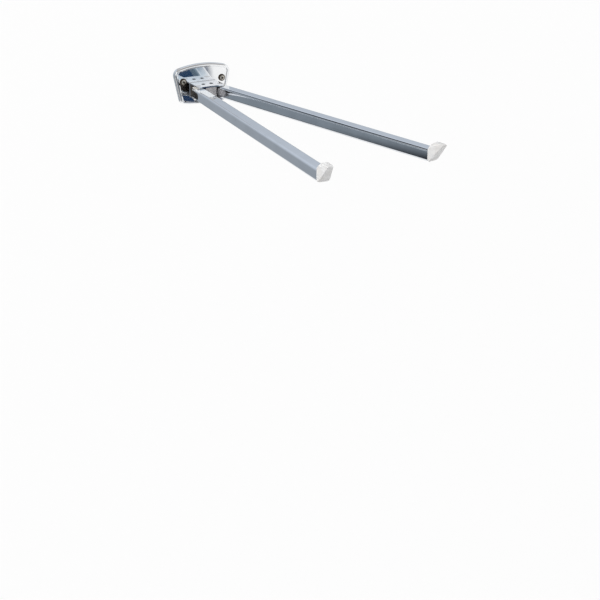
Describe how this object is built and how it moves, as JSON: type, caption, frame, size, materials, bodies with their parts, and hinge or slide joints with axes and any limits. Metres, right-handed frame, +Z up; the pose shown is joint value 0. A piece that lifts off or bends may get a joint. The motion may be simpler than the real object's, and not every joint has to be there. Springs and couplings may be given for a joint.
{
  "type": "two-arm swivel towel holder",
  "caption": "Wall-mounted towel holder with a chromed plate, a hinge bracket and swivelling tube arms with upturned end caps.",
  "frame": {"origin": "on the wall plane, behind the middle of the wall plate's height", "axes": "+Y into the wall, -Y out into the room along the arms, +X to the right as seen from the room, +Z up"},
  "size_m": [0.1629, 0.4775, 0.054],
  "materials": {
    "chrome": "polished chrome plate",
    "galvanised": "zinc-plated steel, matt",
    "screw_steel": "darkened steel",
    "steel": "bright turned steel",
    "die_cast": "grey die-cast zinc, unpolished",
    "cap_plastic": "satin off-white plastic",
    "nylon": "natural nylon"
  },
  "bodies": {
    "wall_mount": {"wall_plate": "chrome", "backing_plate": "galvanised", "wall_screws": "screw_steel", "hinge_bracket": "chrome", "bracket_rivets": "steel", "centre_spacer": "die_cast", "spacer_rivets": "steel", "left_pivot_pin": "steel", "left_upper_washer": "nylon", "left_lower_washer": "nylon", "left_spring_washer": "steel", "left_retaining_clip": "galvanised", "right_pivot_pin": "steel", "right_upper_washer": "nylon", "right_lower_washer": "nylon", "right_spring_washer": "steel", "right_retaining_clip": "galvanised"},
    "left_arm": {"left_arm_tube": "chrome", "left_end_cap": "cap_plastic", "left_pivot_block": "die_cast", "left_pivot_bush": "nylon"},
    "right_arm": {"right_arm_tube": "chrome", "right_end_cap": "cap_plastic", "right_pivot_block": "die_cast", "right_pivot_bush": "nylon"}
  },
  "joints": [
    {"name": "left_arm_swivel", "type": "hinge", "parent": "wall_mount", "child": "left_arm", "pos_m": [-0.0157, -0.0278, -0.0062], "axis": [0, 0, 1], "range_deg": [-85, 3]},
    {"name": "right_arm_swivel", "type": "hinge", "parent": "wall_mount", "child": "right_arm", "pos_m": [0.0157, -0.0278, -0.0062], "axis": [0, 0, 1], "range_deg": [-14, 74]}
  ]
}
